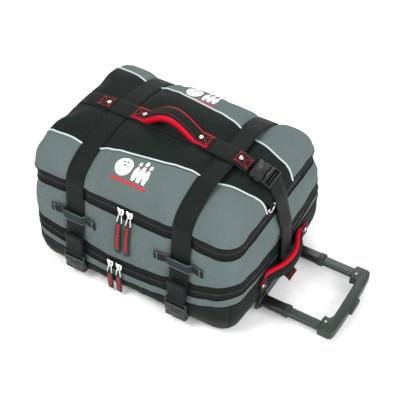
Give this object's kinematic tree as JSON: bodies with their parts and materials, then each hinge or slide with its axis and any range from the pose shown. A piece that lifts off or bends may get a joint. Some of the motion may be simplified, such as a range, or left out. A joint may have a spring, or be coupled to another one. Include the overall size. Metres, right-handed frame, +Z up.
{
  "type": "wheeled bowling ball bag",
  "caption": "Soft wheeled bag with two zipped compartments, compression straps, padded carry handles and a telescopic pull handle, lying on its back.",
  "frame": {"origin": "middle of the ground face of the centre skid rail, under the centre of the base", "axes": "+X towards the telescopic handle, +Y away from the zip pulls, +Z up"},
  "size_m": [0.782, 0.474, 0.419],
  "materials": {
    "black_fabric": "plain black coated polyester weave",
    "grey_fabric": "grey ribbed polyester weave",
    "zip_tape": "black woven zip tape with a nylon coil",
    "webbing": "black polypropylene webbing",
    "red_webbing": "bright red webbing with black edging",
    "piping": "light reflective piping",
    "pull_rubber": "black moulded pull with a raised red strip",
    "buckle_plastic": "black moulded acetal, lightly glossy",
    "dark_plastic": "textured dark moulded plastic",
    "bright_metal": "bright plated metal",
    "steel": "plain steel",
    "tube_dark": "dark grey-green painted tube",
    "tube_black": "black painted tube",
    "board": "black sheet plastic",
    "foam": "dark closed-cell foam",
    "wheel_tyre": "black polyurethane wheel"
  },
  "bodies": {
    "base": {"base_tub": "black_fabric", "skid_rails": "dark_plastic", "wheel_housings": "dark_plastic", "wheel_axles": "steel", "trolley_outer_tubes": "steel", "trolley_bezel": "dark_plastic", "trolley_bracket": "dark_plastic", "base_board": "board", "lower_band": "grey_fabric", "lower_zip_bottom_tape": "zip_tape", "buckle_sockets": "buckle_plastic", "buckle_anchors": "webbing", "far_straps_base": "webbing", "end_patches": "black_fabric", "end_rivets": "bright_metal", "end_strap": "webbing"},
    "upper_section": {"lower_zip_top_tape": "zip_tape", "lower_seam_cord": "black_fabric", "mid_band": "grey_fabric", "divider_panel": "black_fabric", "ball_cradle": "foam", "upper_zip_bottom_tape": "zip_tape", "upper_seam_cord": "black_fabric", "strap_keepers": "webbing", "far_straps_mid": "webbing"},
    "lid": {"upper_zip_top_tape": "zip_tape", "lid_gusset": "grey_fabric", "lid_panel_near": "grey_fabric", "lid_panel_centre": "black_fabric", "lid_panel_far": "grey_fabric", "lid_piping": "piping", "cross_straps": "webbing", "long_strap": "webbing", "handle_patches": "black_fabric", "handle_rivets": "bright_metal", "long_buckle_socket": "buckle_plastic", "ring_loop": "webbing"},
    "carry_handle": {"carry_handle": "black_fabric"},
    "d_ring": {"d_ring": "bright_metal"},
    "strap_end_a": {"strap_end_a": "webbing", "buckle_plug_a": "buckle_plastic"},
    "strap_end_b": {"strap_end_b": "webbing", "buckle_plug_b": "buckle_plastic"},
    "end_strap_tip": {"end_strap_tip": "webbing", "long_buckle_plug": "buckle_plastic"},
    "end_handle": {"end_handle": "red_webbing"},
    "upper_slider_a": {"upper_slider_a": "bright_metal"},
    "upper_slider_b": {"upper_slider_b": "bright_metal"},
    "lower_slider_a": {"lower_slider_a": "bright_metal"},
    "lower_slider_b": {"lower_slider_b": "bright_metal"},
    "upper_pull_a": {"upper_pull_a": "pull_rubber"},
    "upper_pull_b": {"upper_pull_b": "pull_rubber"},
    "lower_pull_a": {"lower_pull_a": "pull_rubber"},
    "lower_pull_b": {"lower_pull_b": "pull_rubber"},
    "wheel_near": {"wheel_near": "wheel_tyre"},
    "wheel_far": {"wheel_far": "wheel_tyre"},
    "stage_1": {"stage_1_tubes": "tube_black"},
    "stage_2": {"stage_2_tubes": "tube_dark", "hand_grip": "dark_plastic"},
    "push_button": {"push_button": "dark_plastic"}
  },
  "joints": [
    {"name": "upper_section_fold", "type": "hinge", "parent": "base", "child": "upper_section", "pos_m": [0, 0.224, 0.118], "axis": [-1, 0, 0], "range_deg": [0, 80]},
    {"name": "lid_fold", "type": "hinge", "parent": "upper_section", "child": "lid", "pos_m": [-0.01, 0.21, 0.27], "axis": [-1, 0, 0], "range_deg": [0, 100], "deforming": ["end_strap_tip", "long_buckle_plug", "strap_end_a", "strap_end_b", "buckle_plug_a", "buckle_plug_b"]},
    {"name": "carry_handle_swing", "type": "hinge", "parent": "lid", "child": "carry_handle", "pos_m": [-0.0195, 0, 0.3795], "axis": [1, 0, 0], "range_deg": [-35, 35]},
    {"name": "ring_swing", "type": "hinge", "parent": "lid", "child": "d_ring", "pos_m": [0.269, -0.044, 0.296], "axis": [0, -1, 0], "range_deg": [0, 90]},
    {"name": "strap_a_hang", "type": "hinge", "parent": "lid", "child": "strap_end_a", "pos_m": [-0.157, -0.2115, 0.245], "axis": [1, 0, 0], "range_deg": [0, 100]},
    {"name": "strap_b_hang", "type": "hinge", "parent": "lid", "child": "strap_end_b", "pos_m": [0.134, -0.2115, 0.245], "axis": [1, 0, 0], "range_deg": [0, 100]},
    {"name": "tip_fold", "type": "hinge", "parent": "base", "child": "end_strap_tip", "pos_m": [0.275, 0, 0.239], "axis": [0, 1, 0], "range_deg": [0, 165]},
    {"name": "end_handle_swing", "type": "hinge", "parent": "base", "child": "end_handle", "pos_m": [0.2845, 0, 0.098], "axis": [0, -1, 0], "range_deg": [-25, 35]},
    {"name": "upper_slider_a_run", "type": "slide", "parent": "upper_section", "child": "upper_slider_a", "axis": [-1, 0, 0], "range_m": [0, 0.085]},
    {"name": "upper_slider_b_run", "type": "slide", "parent": "upper_section", "child": "upper_slider_b", "axis": [1, 0, 0], "range_m": [0, 0.09]},
    {"name": "lower_slider_a_run", "type": "slide", "parent": "base", "child": "lower_slider_a", "axis": [-1, 0, 0], "range_m": [0, 0.06]},
    {"name": "lower_slider_b_run", "type": "slide", "parent": "base", "child": "lower_slider_b", "axis": [1, 0, 0], "range_m": [0, 0.07]},
    {"name": "upper_pull_a_swing", "type": "hinge", "parent": "upper_slider_a", "child": "upper_pull_a", "pos_m": [-0.027, -0.2112, 0.263], "axis": [-1, 0, 0], "range_deg": [0, 60]},
    {"name": "upper_pull_b_swing", "type": "hinge", "parent": "upper_slider_b", "child": "upper_pull_b", "pos_m": [-0.003, -0.2112, 0.263], "axis": [-1, 0, 0], "range_deg": [0, 60]},
    {"name": "lower_pull_a_swing", "type": "hinge", "parent": "lower_slider_a", "child": "lower_pull_a", "pos_m": [-0.056, -0.2312, 0.09], "axis": [-1, 0, 0], "range_deg": [0, 60]},
    {"name": "lower_pull_b_swing", "type": "hinge", "parent": "lower_slider_b", "child": "lower_pull_b", "pos_m": [-0.031, -0.2312, 0.09], "axis": [-1, 0, 0], "range_deg": [0, 60]},
    {"name": "wheel_near_spin", "type": "hinge", "parent": "base", "child": "wheel_near", "pos_m": [-0.247, -0.195, 0.035], "axis": [0, 1, 0], "continuous": true},
    {"name": "wheel_far_spin", "type": "hinge", "parent": "base", "child": "wheel_far", "pos_m": [-0.247, 0.195, 0.035], "axis": [0, 1, 0], "continuous": true},
    {"name": "stage_1_slide", "type": "slide", "parent": "base", "child": "stage_1", "axis": [1, 0, 0], "range_m": [-0.053, 0.3]},
    {"name": "stage_2_slide", "type": "slide", "parent": "stage_1", "child": "stage_2", "axis": [1, 0, 0], "range_m": [-0.076, 0.28]},
    {"name": "push_button_press", "type": "slide", "parent": "stage_2", "child": "push_button", "axis": [-1, 0, 0], "range_m": [0, 0.006], "stiffness_N_per_m": 400, "springref_m": -0.004}
  ],
  "couplings": [
    {"joint": "strap_a_hang", "follows": "lid_fold", "ratio": 1},
    {"joint": "strap_b_hang", "follows": "lid_fold", "ratio": 1},
    {"joint": "tip_fold", "follows": "lid_fold", "ratio": 1.6}
  ]
}
